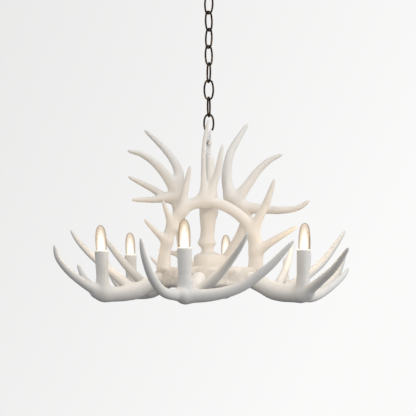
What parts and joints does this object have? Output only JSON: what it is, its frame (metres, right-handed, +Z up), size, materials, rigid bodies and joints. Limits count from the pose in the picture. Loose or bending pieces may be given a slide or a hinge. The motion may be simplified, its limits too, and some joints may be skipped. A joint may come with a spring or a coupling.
{
  "type": "antler chandelier",
  "caption": "Ceiling light of cast resin antlers round a hub, with candle lamps, hung from a chain and a ceiling canopy.",
  "frame": {"origin": "centre of the ceiling face of the canopy and its bracket", "axes": "+Z up into the ceiling, -Y the side the picture shows, +X to its right; the light hangs along -Z"},
  "size_m": [0.6922, 0.7558, 0.788],
  "materials": {
    "white_resin": "cast polyresin painted matt white, softly pitted",
    "bronze": "antique bronze plating, rubbed lighter at the edges",
    "white_paint": "white powder coat on steel strip",
    "zinc_steel": "zinc plated steel",
    "lamp_glass": "clear lamp glass",
    "lamp_cap": "nickel plated lamp cap",
    "holder_plastic": "moulded lampholder",
    "terminal_plastic": "moulded terminal block"
  },
  "bodies": {
    "ceiling_fixing": {"ceiling_bracket": "zinc_steel", "canopy": "bronze", "canopy_nipple": "zinc_steel", "nipple_locknut": "zinc_steel", "canopy_loop": "bronze"},
    "link_1": {"chain_link_1": "bronze"},
    "link_2": {"chain_link_2": "bronze"},
    "link_3": {"chain_link_3": "bronze"},
    "link_4": {"chain_link_4": "bronze"},
    "link_5": {"chain_link_5": "bronze"},
    "link_6": {"chain_link_6": "bronze"},
    "link_7": {"chain_link_7": "bronze"},
    "open_ring": {"chain_open_ring": "bronze"},
    "light": {"hanger_strap": "white_paint", "hanger_screw": "zinc_steel", "hanger_nut": "zinc_steel", "tie_rod": "zinc_steel", "tie_rod_washer": "zinc_steel", "cap_nut": "zinc_steel", "column": "white_resin", "hub": "white_resin", "hub_cover": "zinc_steel", "terminal_block": "terminal_plastic", "arm_bolts": "zinc_steel", "antler_bolts": "zinc_steel", "arm_front": "white_resin", "arm_right": "white_resin", "arm_rear_right_side": "white_resin", "arm_rear": "white_resin", "arm_rear_left_side": "white_resin", "arm_left": "white_resin", "lampholder_front": "holder_plastic", "lampholder_right": "holder_plastic", "lampholder_rear_right_side": "holder_plastic", "lampholder_rear": "holder_plastic", "lampholder_rear_left_side": "holder_plastic", "lampholder_left": "holder_plastic", "antler_front_left": "white_resin", "antler_front_right": "white_resin", "antler_rear_left": "white_resin", "antler_rear_right": "white_resin"},
    "bulb_front": {"bulb_glass_front": "lamp_glass", "bulb_cap_front": "lamp_cap"},
    "bulb_right": {"bulb_glass_right": "lamp_glass", "bulb_cap_right": "lamp_cap"},
    "bulb_rear_right_side": {"bulb_glass_rear_right_side": "lamp_glass", "bulb_cap_rear_right_side": "lamp_cap"},
    "bulb_rear": {"bulb_glass_rear": "lamp_glass", "bulb_cap_rear": "lamp_cap"},
    "bulb_rear_left_side": {"bulb_glass_rear_left_side": "lamp_glass", "bulb_cap_rear_left_side": "lamp_cap"},
    "bulb_left": {"bulb_glass_left": "lamp_glass", "bulb_cap_left": "lamp_cap"}
  },
  "joints": [
    {"name": "link_1_swing", "type": "hinge", "parent": "ceiling_fixing", "child": "link_1", "pos_m": [0, 0, -0.057], "axis": [0.4695, 0.8829, 0], "range_deg": [-15, 15]},
    {"name": "link_2_swing", "type": "hinge", "parent": "link_1", "child": "link_2", "pos_m": [0, 0, -0.09805], "axis": [0.866, -0.5, 0], "range_deg": [-15, 15]},
    {"name": "link_3_swing", "type": "hinge", "parent": "link_2", "child": "link_3", "pos_m": [0, 0, -0.13925], "axis": [0.7071, 0.7071, 0], "range_deg": [-15, 15]},
    {"name": "link_4_swing", "type": "hinge", "parent": "link_3", "child": "link_4", "pos_m": [0, 0, -0.18045], "axis": [0.6691, -0.7431, 0], "range_deg": [-15, 15]},
    {"name": "link_5_swing", "type": "hinge", "parent": "link_4", "child": "link_5", "pos_m": [0, 0, -0.22165], "axis": [0.7431, 0.6691, 0], "range_deg": [-15, 15]},
    {"name": "link_6_swing", "type": "hinge", "parent": "link_5", "child": "link_6", "pos_m": [0, 0, -0.26285], "axis": [-0.342, 0.9397, 0], "range_deg": [-15, 15]},
    {"name": "link_7_swing", "type": "hinge", "parent": "link_6", "child": "link_7", "pos_m": [0, 0, -0.30405], "axis": [1, 0, 0], "range_deg": [-15, 15]},
    {"name": "open_ring_swing", "type": "hinge", "parent": "link_7", "child": "open_ring", "pos_m": [0, 0, -0.34525], "axis": [0.2588, 0.9659, 0], "range_deg": [-15, 15]},
    {"name": "light_swing", "type": "hinge", "parent": "open_ring", "child": "light", "pos_m": [0, 0, -0.38295], "axis": [1, 0, 0], "range_deg": [-15, 15]},
    {"name": "bulb_front_unscrew", "type": "hinge", "parent": "light", "child": "bulb_front", "pos_m": [-0.04999, -0.25719, -0.67126], "axis": [-0.0083, -0.0428, 0.999], "range_deg": [0, 1080]},
    {"name": "bulb_right_unscrew", "type": "hinge", "parent": "light", "child": "bulb_right", "pos_m": [0.20814, -0.15913, -0.67126], "axis": [0.0347, -0.0265, 0.999], "range_deg": [0, 1080]},
    {"name": "bulb_rear_right_side_unscrew", "type": "hinge", "parent": "light", "child": "bulb_rear_right_side", "pos_m": [0.24377, 0.09602, -0.67126], "axis": [0.0406, 0.016, 0.999], "range_deg": [0, 1080]},
    {"name": "bulb_rear_unscrew", "type": "hinge", "parent": "light", "child": "bulb_rear", "pos_m": [0.0464, 0.25786, -0.67126], "axis": [0.0077, 0.0429, 0.999], "range_deg": [0, 1080]},
    {"name": "bulb_rear_left_side_unscrew", "type": "hinge", "parent": "light", "child": "bulb_rear_left_side", "pos_m": [-0.20504, 0.1631, -0.67126], "axis": [-0.0341, 0.0272, 0.999], "range_deg": [0, 1080]},
    {"name": "bulb_left_unscrew", "type": "hinge", "parent": "light", "child": "bulb_left", "pos_m": [-0.24427, -0.09475, -0.67126], "axis": [-0.0407, -0.0158, 0.999], "range_deg": [0, 1080]}
  ]
}
